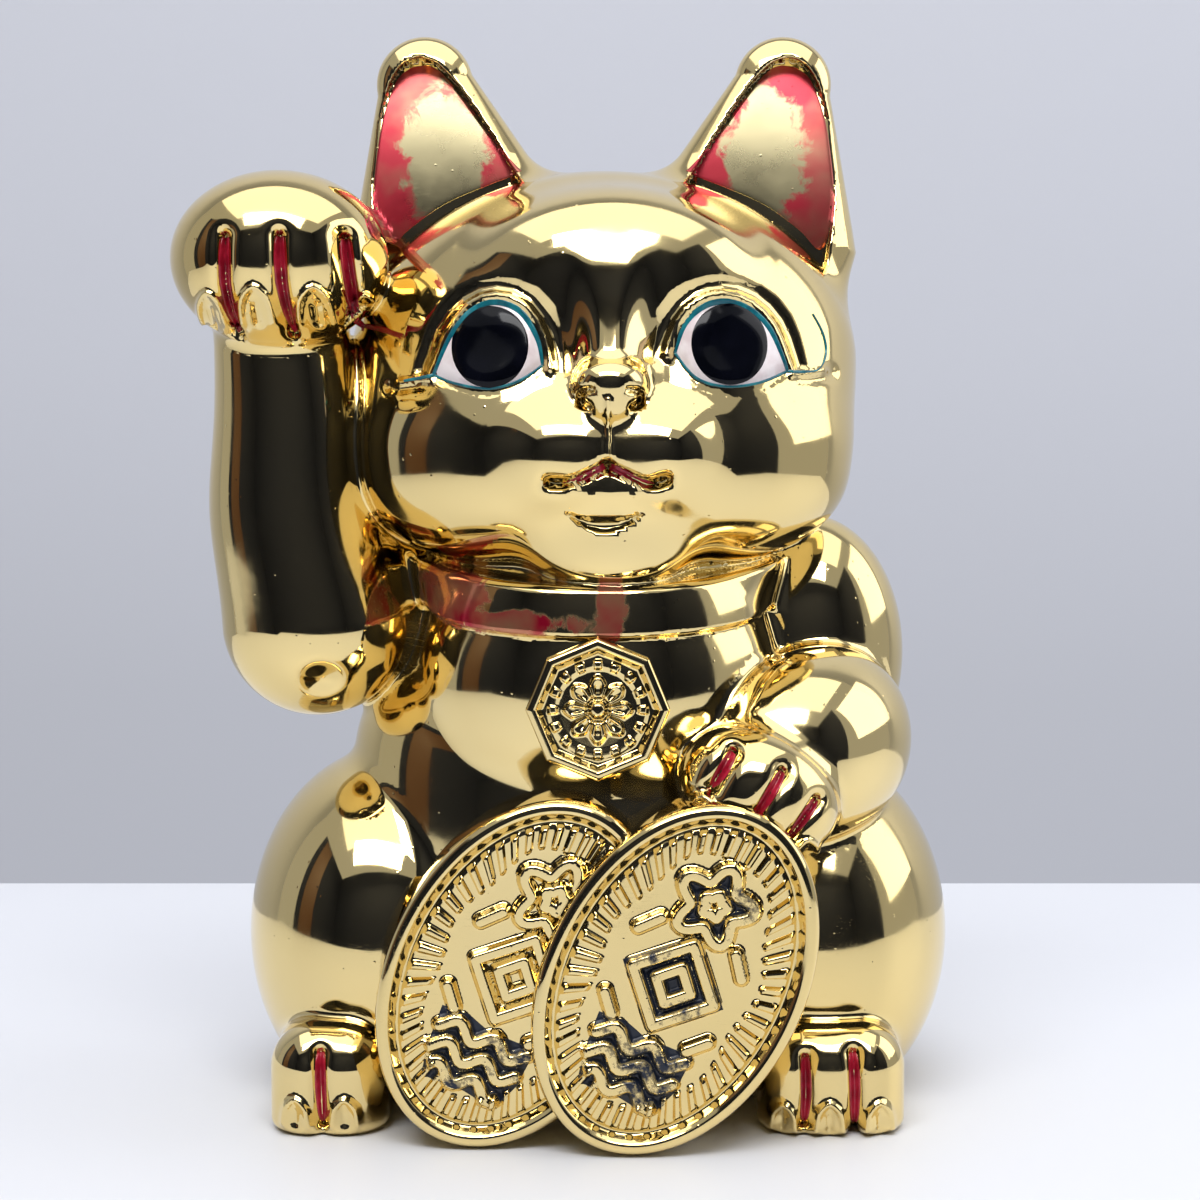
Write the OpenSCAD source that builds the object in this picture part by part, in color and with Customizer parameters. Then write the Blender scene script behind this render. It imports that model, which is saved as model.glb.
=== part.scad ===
// Beckoning cat money bank: hollow cast earthenware with a metallised gold finish.
// The clay parts are cast or pressed on their own, luted together and fired, so every part
// seats face to face on the ones it is joined to. Enamel is drawn as thin coats of its own.
// The cat faces -Y, its raised foreleg is on -X, and it stands on the plane z = 0.

/* [Casting] */
// Thickness of the cast clay walls
wall = 4.2; // [3.8:0.2:5]
// Thickness of a coat of enamel
enamel = 0.4; // [0.3:0.1:0.6]

/* [Torso] */
// Half width of the trunk
trunk_half_width = 64; // [61:1:67]
// Half width of the chest
chest_half_width = 60; // [57:1:63]
// Sideways reach of each haunch from the middle plane
haunch_reach = 91; // [88:1:94]

/* [Head] */
// Half width of the head
head_half_width = 64; // [61:1:67]
// Height of the middle of the head above the table
head_height = 187; // [185:1:190]
// Sideways offset of the head from the middle plane
head_shift = 3; // [0:1:4]
// Sideways offset of the ears from the middle plane
ear_shift = 1.5; // [0:0.5:4]
// Height of the ear tips above the table
ear_tip_height = 270; // [266:1:276]

/* [Money slot and stopper] */
// Length of the money slot
slot_length = 38; // [32:1:42]
// Width of the money slot
slot_width = 6; // [5:0.5:7]
// Radius of the stopper hole in the base
stopper_radius = 14; // [12:0.5:15]
// Gap all round between the stopper and its hole
stopper_clearance = 0.05; // [0.02:0.01:0.1]

/* [Coins and medallion] */
// Half length of each oval coin
coin_half_length = 44; // [42:0.5:45]
// Half width of each oval coin
coin_half_width = 30.5; // [29:0.5:32]
// Lean of the coins from upright, in degrees
coin_lean = 27; // [24:1:30]
// Corner radius of the eight-sided medallion
medallion_radius = 17.3; // [15:0.1:19]

/* [Hidden] */
clay_fn = 26;
round_fn = 80;
figure_fn = 12;
bead_fn = 8;
gold = "goldenrod";
red = "firebrick";
ink = "midnightblue";

// Lumps of clay that the forms are built from: [middle, half sizes].
// A paired lump is given for the cat's left side (+X).
seat = [[0, 4, 27], [trunk_half_width, 55, 42]];
belly = [[0, 3, 62], [trunk_half_width - 1, 51, 44]];
chest = [[0, -1, 94], [chest_half_width, 49, 38]];
haunch = [[haunch_reach - 36, 2, 40], [36, 48, 47]];
front_lap = [[18, -24, 42], [26, 38, 36]];
rear_lap = [[-19, -22, 42], [26, 34, 36]];
skull = [[0, 0, head_height], [head_half_width, 53, 49.5]];
cheek = [[24, -8, 164], [38, 42, 28]];
muzzle = [[0, -36, 163], [26, 25, 24]];
nose_tip = [[0, -57.5, 181], [8.6, 6.4, 6.6]];
nose_bridge = [[0, -45, 196], [8, 9, 12]];
ear_root = [[37.5, 3, 226], [26, 15, 13]];
ear_tip = [[46.5, 4, ear_tip_height - 10], [10.5, 8.5, 11]];
raised_elbow = [[-71, -12, 122], [24, 23, 25]];
raised_shin = [[-79, -12, 150], [20.5, 20, 24]];
raised_wrist = [[-80, -13, 188], [19.5, 19, 20]];
raised_fist = [[-78.5, -25, 212.5], [27.3, 26.5, 22]];
raised_wrist_hollow = [[-80, -17, 190], [12, 12, 12]];
left_shoulder = [[54, 6, 114], [24.5, 24, 31]];
left_elbow = [[58, -19, 93], [21, 23, 23]];
left_wrist = [[46, -36, 90], [20, 20, 21]];
left_paw = [[38.5, -52, 83], [20.5, 18, 16]];
raised_drain = [[-50, -6, 112], [22, 8, 8]];
lowered_drain = [[46, 2, 106], [16, 8, 8]];
hind_paw_on_right = [[-64, -32, 13], [17, 23, 13]];
hind_paw_on_left = [[57, -32, 13], [19, 23, 13]];
tail_root = [[-4, 50, 16], [14, 12, 12]];
tail_bob = [[10, 53, 20], [13, 13, 14]];

// Neck and base
neck_radius = 44;
neck_flatness = 0.88;
neck_foot = 90;
neck_top = 143;
neck_clearance = 10;
slab_thickness = 7;
slab_half_width = 52;
slab_half_depth = 38;
slab_y = 5;

// Stopper
stopper_y = 23;
stopper_depth = 11;
stopper_wall = 3;
flange_radius = stopper_radius + 3.5;
flange_thickness = 2;
flange_recess = 3;
grip_radius = 8;
grip_bar = 3;

// Money slot
slot_height = 197;

// Collar
collar_height = 12;
collar_middle = 131;
collar_tilt = 8;
collar_radius = 48;
collar_flatness = 0.92;

// Coins: the middle and the front face of each
coin_height = 0.4 + norm([coin_half_length * cos(coin_lean), coin_half_width * sin(coin_lean)]);
coin_back_y = -44;
front_coin = [front_lap[0][0], -71];
rear_coin = [rear_lap[0][0], -65];
coin_rim = 3.5;
relief = 1.2;

// Medallion
medallion_place = [0, -40, 103.5];
medallion_depth = 14;
medallion_rim = 2.6;
medallion_sink = 2;

// Ears
ear_floor = -4;
ear_rim = 4.5;

// Eyes and mouth
eye_spacing = 29.3;
eye_height = 191;
eye_arc_radius = 16.2;
eye_arc_offset = 6.5;
eye_slant = 5;
liner_width = 1.1;
pupil_radius = 9.2;
lip_height = 158;
lip_length = 11;
lip_width = 1.6;

// Claw grooves: how far each is from the middle of its paw
claw_width = 1.8;
raised_claws = [-14, 0, 13.5];
lowered_claws = [-12, -2, 8];
hind_claws_right = [-3];
hind_claws_left = [-7, 4.5];

// ---- shapes that repeat ----

// One lump of clay, grown or shrunk all round
module lump(form, grow = 0, facets = clay_fn) {
    hull()
        translate(form[0])
            scale([for (half = form[1]) half + grow])
                sphere(r = 1, $fn = facets);
}

// Puts its children, made for the cat's left side, on the side asked for
module on_side(side) {
    mirror([side < 0 ? 1 : 0, 0, 0])
        children();
}

// Everything above a height
module above(height) {
    translate([-150, -150, height])
        cube([300, 300, 300]);
}

// An oval drawn as one outline, so that parts on both sides of it meet exactly
module oval(half_x, half_y) {
    step = 360 / round_fn;
    polygon([for (turn = [0 : step : 359.9]) [half_x * cos(turn), half_y * sin(turn)]]);
}

// Stands its children, drawn flat, on a coin's face: the flat +Z points out of the coin
module on_coin(coin) {
    translate([coin[0], coin[1], coin_height])
        rotate([90, coin_lean, 0])
            children();
}

// ---- whole forms, which the parts are cut from ----

module neck_form(grow = 0) {
    translate([0, 0, neck_foot])
        linear_extrude(neck_top - neck_foot)
            oval(neck_radius + grow, (neck_radius + grow) * neck_flatness);
}

module trunk_form(grow = 0) {
    hull() {
        lump(seat, grow);
        lump(belly, grow);
        lump(chest, grow);
    }
    for (side = [-1, 1])
        on_side(side)
            lump(haunch, grow);
    lump(front_lap, grow);
    lump(rear_lap, grow);
}

module torso_form() {
    intersection() {
        union() {
            trunk_form();
            neck_form();
        }
        above(0);
    }
}

module slab_form() {
    translate([0, slab_y, 0])
        linear_extrude(slab_thickness)
            oval(slab_half_width, slab_half_depth);
}

module head_form(grow = 0) {
    translate([head_shift, 0, 0]) {
        hull() {
            lump(skull, grow);
            for (side = [-1, 1])
                on_side(side)
                    lump(cheek, grow);
        }
        lump(muzzle, grow);
    }
}

module nose_form() {
    translate([head_shift, 0, 0])
        hull() {
            lump(nose_tip);
            lump(nose_bridge);
        }
}

module ear_form(side) {
    translate([ear_shift, 0, 0])
        on_side(side)
            hull() {
                lump(ear_root);
                lump(ear_tip);
            }
}

// The hollow in the front of an ear: three round corners, an even rim inside the ear's own outline
module ear_hollow(side, inset = 0) {
    corner_radius = ear_rim + 1;
    corners = [
        [ear_root[0][0] - 13, ear_root[0][2] - 4],
        [ear_root[0][0] + 18, ear_root[0][2] - 7],
        [ear_tip[0][0], ear_tip[0][2]]
    ];
    translate([ear_shift, 0, 0])
        on_side(side)
            hull()
                for (corner = corners)
                    translate([corner[0], ear_floor, corner[1]])
                        rotate([90, 0, 0])
                            cylinder(h = 30, r = corner_radius - inset, $fn = clay_fn);
}

module collar_form() {
    translate([0, 0, collar_middle])
        rotate([collar_tilt, 0, 0])
            translate([0, 0, -collar_height / 2])
                linear_extrude(collar_height)
                    oval(collar_radius, collar_radius * collar_flatness);
}

module raised_foreleg_form(grow = 0) {
    hull() {
        lump(raised_elbow, grow);
        lump(raised_shin, grow);
        lump(raised_wrist, grow);
    }
}

module lowered_foreleg_form(grow = 0) {
    hull() {
        lump(left_shoulder, grow);
        lump(left_elbow, grow);
    }
    hull() {
        lump(left_elbow, grow);
        lump(left_wrist, grow);
    }
}

module hind_paw_form(side, grow = 0) {
    lump(side < 0 ? hind_paw_on_right : hind_paw_on_left, grow);
}

module coin_form(coin) {
    on_coin(coin)
        mirror([0, 0, 1])
            linear_extrude(coin_back_y - coin[1])
                oval(coin_half_width, coin_half_length);
}

// The almond of an eye, as a bar through the head along Y
module almond(side, grow = 0) {
    translate([head_shift + side * eye_spacing, 0, eye_height - 1])
        rotate([90, side * eye_slant, 0])
            linear_extrude(100)
                intersection_for(lift = [-eye_arc_offset, eye_arc_offset])
                    translate([0, lift])
                        circle(r = eye_arc_radius + grow, $fn = round_fn);
}

// The figures on a coin: a blossom, a lozenge and three waves, drawn flat
module coin_figures(grow = 0) {
    petals = 5;
    translate([0, 21])
        for (petal = [0 : petals - 1])
            rotate(90 + petal * 360 / petals)
                translate([5.2, 0])
                    circle(r = 3.4 + grow, $fn = figure_fn);
    scale([0.8, 1])
        circle(r = 11 + grow, $fn = 4);
    for (wave = [-1 : 1])
        translate([wave * 6, -23])
            circle(r = 4 + grow, $fn = figure_fn);
}

// ---- clay parts ----

module torso_casting() {
    color(gold)
        difference() {
            torso_form();
            intersection() {
                trunk_form(-wall);
                above(slab_thickness);
            }
            translate([0, 0, 1])
                neck_form(-wall);
            slab_form();
        }
}

// The base slab closes the foot of the torso, and the stopper's hole goes through it
module base_slab() {
    color(gold)
        difference() {
            slab_form();
            translate([0, stopper_y, -1]) {
                cylinder(h = slab_thickness + 2, r = stopper_radius, $fn = round_fn);
                cylinder(h = flange_recess + 1, r = flange_radius + 0.5, $fn = round_fn);
            }
        }
}

// A soft cup: its flange bears on the recess, and a bar across its mouth is pinched to pull it out
module stopper() {
    color("ivory")
        translate([0, stopper_y, 0])
            difference() {
                union() {
                    translate([0, 0, flange_recess - flange_thickness])
                        cylinder(h = flange_thickness, r = flange_radius, $fn = round_fn);
                    translate([0, 0, flange_recess])
                        cylinder(h = stopper_depth, r = stopper_radius - stopper_clearance, $fn = round_fn);
                }
                difference() {
                    cylinder(h = stopper_depth, r = grip_radius, $fn = round_fn);
                    translate([-grip_radius, -grip_bar / 2, 0])
                        cube([2 * grip_radius, grip_bar, stopper_depth]);
                }
                translate([0, 0, stopper_depth + flange_recess - 1])
                    cylinder(h = 2, r = stopper_radius - stopper_wall, $fn = round_fn);
            }
}

module head_casting() {
    color(gold)
        difference() {
            union() {
                head_form();
                nose_form();
            }
            head_form(-wall);
            torso_form();
            translate([0, 0, neck_clearance])
                neck_form(-wall);
            hull()
                for (side = [-1, 1])
                    translate([head_shift + side * (slot_length - slot_width) / 2, 70, slot_height])
                        rotate([90, 0, 0])
                            cylinder(h = 40, r = slot_width / 2, $fn = clay_fn);
        }
}

module ear(side) {
    color(gold)
        difference() {
            ear_form(side);
            head_form();
            ear_hollow(side);
        }
}

module tail() {
    color(gold)
        difference() {
            union() {
                lump(tail_root, 0, figure_fn);
                lump(tail_bob, 0, figure_fn);
            }
            torso_form();
        }
}

module collar() {
    color(red)
        difference() {
            collar_form();
            torso_form();
            head_form();
        }
}

// An eight-sided plaque with a sunk field, eight petals and a bead in the middle
module medallion() {
    corners = 8;
    petal = [[5.6, 0, 0], [3, 2, 1.2]];
    bead = [[0, 0, 0], [1.8, 1.8, 1.8]];
    color(gold)
        difference() {
            translate(medallion_place)
                rotate([90, 0, 0]) {
                    difference() {
                        cylinder(h = medallion_depth, r = medallion_radius, $fn = corners);
                        translate([0, 0, medallion_depth - medallion_sink])
                            cylinder(h = 3, r = medallion_radius - medallion_rim, $fn = corners);
                    }
                    translate([0, 0, medallion_depth - medallion_sink]) {
                        for (turn = [0 : corners - 1])
                            rotate([0, 0, turn * 360 / corners])
                                lump(petal, 0, bead_fn);
                        lump(bead, 0, bead_fn);
                    }
                }
            torso_form();
            collar_form();
        }
}

module raised_foreleg() {
    color(gold)
        difference() {
            raised_foreleg_form();
            raised_foreleg_form(-wall);
            lump(raised_drain);
            lump(raised_wrist_hollow);
            torso_form();
            head_form();
            collar_form();
        }
}

module raised_paw() {
    color(gold)
        difference() {
            lump(raised_fist);
            lump(raised_fist, -wall);
            raised_foreleg_form();
            head_form();
            ear_form(-1);
        }
}

module lowered_foreleg() {
    color(gold)
        difference() {
            lowered_foreleg_form();
            lowered_foreleg_form(-wall);
            lump(lowered_drain);
            torso_form();
            head_form();
            collar_form();
        }
}

module lowered_paw() {
    color(gold)
        difference() {
            lump(left_paw);
            lowered_foreleg_form();
            torso_form();
            coin_form(front_coin);
            coin_form(rear_coin);
        }
}

module hind_paw(side) {
    color(gold)
        difference() {
            intersection() {
                hind_paw_form(side);
                above(0);
            }
            torso_form();
            coin_form(front_coin);
            coin_form(rear_coin);
        }
}

// An oval plaque with a raised rim and raised figures, each figure hollowed for its ink
module coin_plaque(coin) {
    border = 1.2;
    difference() {
        coin_form(coin);
        on_coin(coin)
            translate([0, 0, -relief])
                linear_extrude(relief + 1)
                    difference() {
                        oval(coin_half_width - coin_rim, coin_half_length - coin_rim);
                        coin_figures(border);
                    }
        on_coin(coin)
            translate([0, 0, -relief])
                linear_extrude(relief + 1)
                    coin_figures();
    }
}

module coin_front() {
    color(gold)
        difference() {
            coin_plaque(front_coin);
            torso_form();
            lowered_foreleg_form();
        }
}

module coin_rear() {
    color(gold)
        difference() {
            coin_plaque(rear_coin);
            coin_form(front_coin);
            torso_form();
            lowered_foreleg_form();
        }
}

// ---- enamel ----

// The coat that lies on the head between two thicknesses
module head_coat(from, to) {
    difference() {
        head_form(to);
        head_form(from);
        nose_form();
    }
}

module eye_white(side) {
    color("white")
        intersection() {
            head_coat(0, enamel);
            almond(side);
        }
}

module eye_liner(side) {
    color("teal")
        intersection() {
            head_coat(0, enamel);
            difference() {
                almond(side, liner_width);
                almond(side);
            }
        }
}

module pupil(side) {
    color(ink)
        intersection() {
            head_coat(enamel, 2 * enamel);
            translate([head_shift + side * eye_spacing, 0, eye_height])
                rotate([90, 0, 0])
                    cylinder(h = 100, r = pupil_radius, $fn = round_fn);
        }
}

module lip_enamel() {
    droop = 24;
    color(red)
        intersection() {
            head_coat(0, enamel);
            for (side = [-1, 1])
                translate([head_shift + side * (lip_length / 2 + 0.5), 0, lip_height])
                    rotate([90, side * droop, 0])
                        linear_extrude(100)
                            square([lip_length, lip_width], center = true);
        }
}

module ear_enamel(side) {
    color(red)
        intersection() {
            difference() {
                ear_form(side);
                head_form();
            }
            ear_hollow(side, 1);
            translate([-150, ear_floor - enamel, 0])
                cube([300, enamel, 300]);
        }
}

// Upright bars that cut a coat down to the grooves between the claws
module groove_bars(paw, places, lean = 0) {
    for (place = places)
        translate(paw[0] + [place, 0, -2])
            rotate([0, lean, 0])
                translate([-claw_width / 2, -50, -paw[1][2] / 2])
                    cube([claw_width, 50, paw[1][2]]);
}

module claw_enamel_raised() {
    color(red)
        intersection() {
            difference() {
                lump(raised_fist, enamel);
                lump(raised_fist);
                raised_foreleg_form();
                head_form();
                ear_form(-1);
            }
            groove_bars(raised_fist, raised_claws);
        }
}

module claw_enamel_lowered() {
    color(red)
        intersection() {
            difference() {
                lump(left_paw, enamel);
                lump(left_paw);
                lowered_foreleg_form();
                torso_form();
                coin_form(front_coin);
            }
            groove_bars(left_paw, lowered_claws, coin_lean);
        }
}

module claw_enamel_hind() {
    color(red)
        intersection() {
            difference() {
                for (side = [-1, 1])
                    hind_paw_form(side, enamel);
                for (side = [-1, 1])
                    hind_paw_form(side);
                torso_form();
                coin_form(front_coin);
                coin_form(rear_coin);
            }
            union() {
                groove_bars(hind_paw_on_right, hind_claws_right);
                groove_bars(hind_paw_on_left, hind_claws_left);
            }
        }
}

// Ink fills the figures of a coin to half their depth
module coin_ink(coin) {
    on_coin(coin)
        translate([0, 0, -relief])
            linear_extrude(relief / 2)
                coin_figures();
}

module coin_ink_front() {
    color(ink)
        difference() {
            coin_ink(front_coin);
            lowered_foreleg_form();
        }
}

module coin_ink_rear() {
    color(ink)
        difference() {
            coin_ink(rear_coin);
            coin_form(front_coin);
        }
}

torso_casting();
base_slab();
stopper();
head_casting();
ear(-1);  // ear_right
ear(1);  // ear_left
tail();
collar();
medallion();
raised_foreleg();
raised_paw();
lowered_foreleg();
lowered_paw();
hind_paw(-1);  // hind_paw_right
hind_paw(1);  // hind_paw_left
coin_front();
coin_rear();
eye_white(-1);  // eye_white_right
eye_white(1);  // eye_white_left
eye_liner(-1);  // eye_liner_right
eye_liner(1);  // eye_liner_left
pupil(-1);  // pupil_right
pupil(1);  // pupil_left
lip_enamel();
ear_enamel(-1);  // ear_enamel_right
ear_enamel(1);  // ear_enamel_left
claw_enamel_raised();
claw_enamel_lowered();
claw_enamel_hind();
coin_ink_front();
coin_ink_rear();
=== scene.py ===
import math

import bmesh
import bpy
import numpy as np
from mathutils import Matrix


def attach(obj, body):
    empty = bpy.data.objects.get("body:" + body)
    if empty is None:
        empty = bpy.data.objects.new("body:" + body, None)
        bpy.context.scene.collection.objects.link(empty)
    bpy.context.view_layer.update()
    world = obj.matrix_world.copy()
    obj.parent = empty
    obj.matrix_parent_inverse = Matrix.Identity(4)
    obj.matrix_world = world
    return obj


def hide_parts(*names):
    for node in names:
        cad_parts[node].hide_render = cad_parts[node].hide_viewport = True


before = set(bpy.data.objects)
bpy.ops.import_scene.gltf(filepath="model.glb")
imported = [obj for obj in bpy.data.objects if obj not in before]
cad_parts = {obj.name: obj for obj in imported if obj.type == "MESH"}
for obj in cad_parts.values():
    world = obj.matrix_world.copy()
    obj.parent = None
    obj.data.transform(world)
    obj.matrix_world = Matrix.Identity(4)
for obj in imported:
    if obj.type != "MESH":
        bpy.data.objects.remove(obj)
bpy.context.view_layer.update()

import openvdb
from mathutils import Matrix, Vector

# ---- The studio ----
# The cat stands on a pale table in front of a pale wall. Big soft sources hang over it. The room behind
# the camera is dim, drawn as near-black panels in painted shade, which a mirror finish shows as dark bands.

MM = 0.001
CAMERA_DISTANCE = 600 * MM
CAMERA_HEIGHT = 170 * MM
CAMERA_SIDE = 0.5 * MM
CAMERA_PITCH = math.radians(4.2)


def linear(hex_colour):
    """An sRGB hex colour as linear red, green, blue and alpha."""
    channels = [int(hex_colour[i:i + 2], 16) / 255 for i in (1, 3, 5)]
    return [c / 12.92 if c <= 0.04045 else ((c + 0.055) / 1.055) ** 2.4 for c in channels] + [1.0]


def node(tree, kind, settings=None, **inputs):
    """Adds a node; settings are its properties, inputs are socket values or links from other nodes."""
    added = tree.nodes.new("ShaderNode" + kind)
    for name, value in (settings or {}).items():
        setattr(added, name, value)
    for name, value in inputs.items():
        key = int(name[1:]) if name[0] == "i" and name[1:].isdigit() else name.replace("_", " ")
        socket = added.inputs[key]
        if isinstance(value, bpy.types.NodeSocket):
            tree.links.new(value, socket)
        elif isinstance(value, bpy.types.Node):
            tree.links.new(value.outputs[0], socket)
        else:
            socket.default_value = value
    return added


def new_material(name):
    """An empty node material, and the tree to fill."""
    material = bpy.data.materials.new(name)
    material.use_nodes = True
    tree = material.node_tree
    tree.nodes.clear()
    return material, tree


def finish_surface(tree, **inputs):
    """The shader and the output that end a material."""
    shader = node(tree, "BsdfPrincipled", **inputs)
    output = tree.nodes.new("ShaderNodeOutputMaterial")
    tree.links.new(shader.outputs[0], output.inputs["Surface"])


def plain_material(name, hex_colour, roughness):
    material, tree = new_material(name)
    finish_surface(tree, Base_Color=linear(hex_colour), Roughness=roughness)
    return material


def mesh_from(name, shape):
    """Turns a finished bmesh into a mesh and frees it."""
    mesh = bpy.data.meshes.new(name)
    shape.to_mesh(mesh)
    shape.free()
    return mesh


def add_object(name, data):
    added = bpy.data.objects.new(name, data)
    bpy.context.collection.objects.link(added)
    return added


def add_panel(name, corners, material):
    """A flat four-cornered piece of the studio."""
    sheet = bmesh.new()
    sheet.faces.new([sheet.verts.new(corner) for corner in corners])
    mesh = mesh_from(name, sheet)
    mesh.materials.append(material)
    add_object(name, mesh)


table_paint = plain_material("painted_table_top", "#DCDEE4", 0.45)
wall_paint = plain_material("matt_wall_paint", "#D6D8E0", 0.9)
# Painted shade: this near-black colour stands for a room that no lamp lights, not for a dark cloth.
dim_room_painted_shade = plain_material("dim_room", "#0E1529", 0.8)
wood_panel = plain_material("wooden_door", "#5A3A22", 0.5)

TABLE_BACK = 0.259
TABLE_FRONT = -0.62
add_panel("table", [(-1.2, TABLE_FRONT, 0), (1.2, TABLE_FRONT, 0), (1.2, TABLE_BACK, 0), (-1.2, TABLE_BACK, 0)],
          table_paint)
add_panel("wall", [(-2.5, 0.9, -1.5), (2.5, 0.9, -1.5), (2.5, 0.9, 2.5), (-2.5, 0.9, 2.5)], wall_paint)
# These panels carry the painted shade of the unlit room behind the camera.
add_panel("room_behind", [(-1.6, -1.5, -0.6), (-1.6, -1.5, 1.5), (1.3, -1.5, 1.5), (1.3, -1.5, -0.6)], dim_room_painted_shade)
add_panel("room_left", [(-1.6, -1.5, -0.6), (-1.6, 0.0, -0.6), (-1.6, 0.0, 1.5), (-1.6, -1.5, 1.5)], dim_room_painted_shade)
add_panel("room_right", [(1.3, -1.5, -0.6), (1.3, -1.5, 1.5), (1.3, -0.5, 1.5), (1.3, -0.5, -0.6)], dim_room_painted_shade)
add_panel("door", [(-1.58, -0.55, -0.6), (-1.58, -0.15, -0.6), (-1.58, -0.15, 1.45), (-1.58, -0.55, 1.45)],
          wood_panel)


def add_area_light(name, place, target, width, depth, power):
    lamp = bpy.data.lights.new(name, "AREA")
    lamp.shape = "RECTANGLE"
    lamp.size = width
    lamp.size_y = depth
    lamp.energy = power
    fixture = add_object(name, lamp)
    fixture.location = place
    fixture.rotation_euler = (Vector(target) - Vector(place)).to_track_quat("-Z", "Y").to_euler()


add_area_light("ceiling_strip", (-0.1, -0.95, 1.5), (0.0, -0.1, 0.1), 1.5, 0.5, 23)
add_area_light("ceiling_light", (0.0, -0.15, 1.75), (0.0, -0.1, 0.0), 2.4, 1.4, 14)
add_area_light("side_light", (1.7, 0.2, 1.0), (0.0, 0.0, 0.12), 1.2, 1.2, 8)

world = bpy.data.worlds.new("studio_air")
bpy.context.scene.world = world
world.use_nodes = True
air = world.node_tree.nodes["Background"]
air.inputs["Color"].default_value = linear("#D9DCE4")
air.inputs["Strength"].default_value = 0.6

camera_data = bpy.data.cameras.new("camera")
camera_data.lens = 69.3
camera_data.sensor_width = 36.0
camera = add_object("camera", camera_data)
camera.location = (CAMERA_SIDE, -CAMERA_DISTANCE, CAMERA_HEIGHT)
camera.rotation_euler = (math.pi / 2 - CAMERA_PITCH, 0, 0)
bpy.context.scene.camera = camera
bpy.context.scene.view_settings.view_transform = "Standard"

# ---- The clay forms ----
# The body is slip cast in plaster moulds, so it has no straight edge and no turned profile: each form
# is a set of soft lumps that run into each other, with the modelling pressed into it. A form is a
# function that gives the distance of points from its surface, in millimetres, negative inside.


def lump(p, centre, half, turn=0, square=2.0):
    """Distance from an ellipsoid, turned by degrees about Y. A square above 2 squares its front outline."""
    q = p - np.array(centre, np.float32)
    if turn:
        q = q @ np.array(Matrix.Rotation(math.radians(turn), 3, "Y"), np.float32)
    half = np.array(half, np.float32)
    scaled = np.abs(q / half) + 1e-6
    if square == 2.0:
        near = np.sqrt((scaled ** 2).sum(-1))
        slope = np.sqrt(((scaled / half) ** 2).sum(-1)) / near
        return (near - 1) / slope
    ring = (scaled[:, 0] ** square + scaled[:, 2] ** square) ** (1 / square)
    near = np.sqrt(ring ** 2 + scaled[:, 1] ** 2)
    sides = (ring / near)[:, None] * (scaled / ring[:, None]) ** (square - 1) / half
    sides[:, 1] = scaled[:, 1] / near / half[1]
    return (near - 1) / np.sqrt((sides ** 2).sum(-1))


def limb(p, start, start_radius, end, end_radius):
    """Distance from a rod with round ends whose radius changes along it."""
    a, b = np.array(start, np.float32), np.array(end, np.float32)
    t = np.clip((p - a) @ (b - a) / ((b - a) ** 2).sum(), 0, 1)
    offset = p - a - t[:, None] * (b - a)
    return np.sqrt((offset ** 2).sum(-1)) - start_radius - t * (end_radius - start_radius)


def block(p, centre, half, edge):
    """Distance from a box with rounded edges."""
    q = np.abs(p - np.array(centre, np.float32)) - np.array(half, np.float32) + edge
    outside = np.sqrt((np.maximum(q, 0) ** 2).sum(-1))
    return outside + np.minimum(q.max(-1), 0) - edge


def join(a, b, fillet):
    """Union of two forms with a fillet between them."""
    h = np.maximum(fillet - np.abs(a - b), 0) / fillet
    return np.minimum(a, b) - h * h * fillet * 0.25


def cut(a, b, fillet):
    """What is left of form a when form b is cut out of it, with a rounded edge."""
    return -join(-a, b, fillet)


def ramp(value, low, high):
    """0 below low, 1 above high, and a smooth step between."""
    t = np.clip((value - low) / (high - low), 0, 1)
    return t * t * (3 - 2 * t)


def line_distance(x, z, points):
    """How far points are from a line drawn on a flat face."""
    best = np.full(x.shape, 1e9, np.float32)
    for (ax, az), (bx, bz) in zip(points[:-1], points[1:]):
        dx, dz = bx - ax, bz - az
        t = np.clip(((x - ax) * dx + (z - az) * dz) / (dx * dx + dz * dz + 1e-9), 0, 1)
        best = np.minimum(best, (x - ax - t * dx) ** 2 + (z - az - t * dz) ** 2)
    return np.sqrt(best)


def stroke(x, z, points, width):
    """A soft line drawn on a face: 1 along its middle, falling to 0 one width away."""
    return np.exp(-(line_distance(x, z, points) / (0.45 * width)) ** 2)


def curve(points, steps=6):
    """A smooth line through a few points."""
    pts = np.array([points[0], *points, points[-1]], float)
    line = []
    for a, b, c, d in zip(pts[:-3], pts[1:-2], pts[2:-1], pts[3:]):
        for t in np.arange(steps) / steps:
            line.append(0.5 * (2 * b + (c - a) * t + (2 * a - 5 * b + 4 * c - d) * t ** 2
                               + (3 * b - a - 3 * c + d) * t ** 3))
    return np.array(line + [pts[-1]])


def arch(x, z, width, height):
    """A raised claw's outline: an arch open at the bottom."""
    return curve([(x - width, z - height), (x - width * 0.8, z - 0.2 * height), (x, z + 0.3 * height),
                  (x + width * 0.8, z - 0.2 * height), (x + width, z - height)], 3)


def relief(p, low, high, height):
    """Modelling pressed into a form, worked out only in the box that holds it."""
    inside = ((p > np.array(low, np.float32)) & (p < np.array(high, np.float32))).all(1)
    raised = np.zeros(len(p), np.float32)
    if inside.any():
        raised[inside] = height(p[inside, 0], p[inside, 2])
    return raised


# ---- Torso ----
# The trunk, chest and both haunches are one hollow casting, with the chest standing proud of the
# trunk in a bib shape and two low laps behind the coins. The clay is 4 mm thick, and the coins that
# are saved drop into the space inside.


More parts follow.
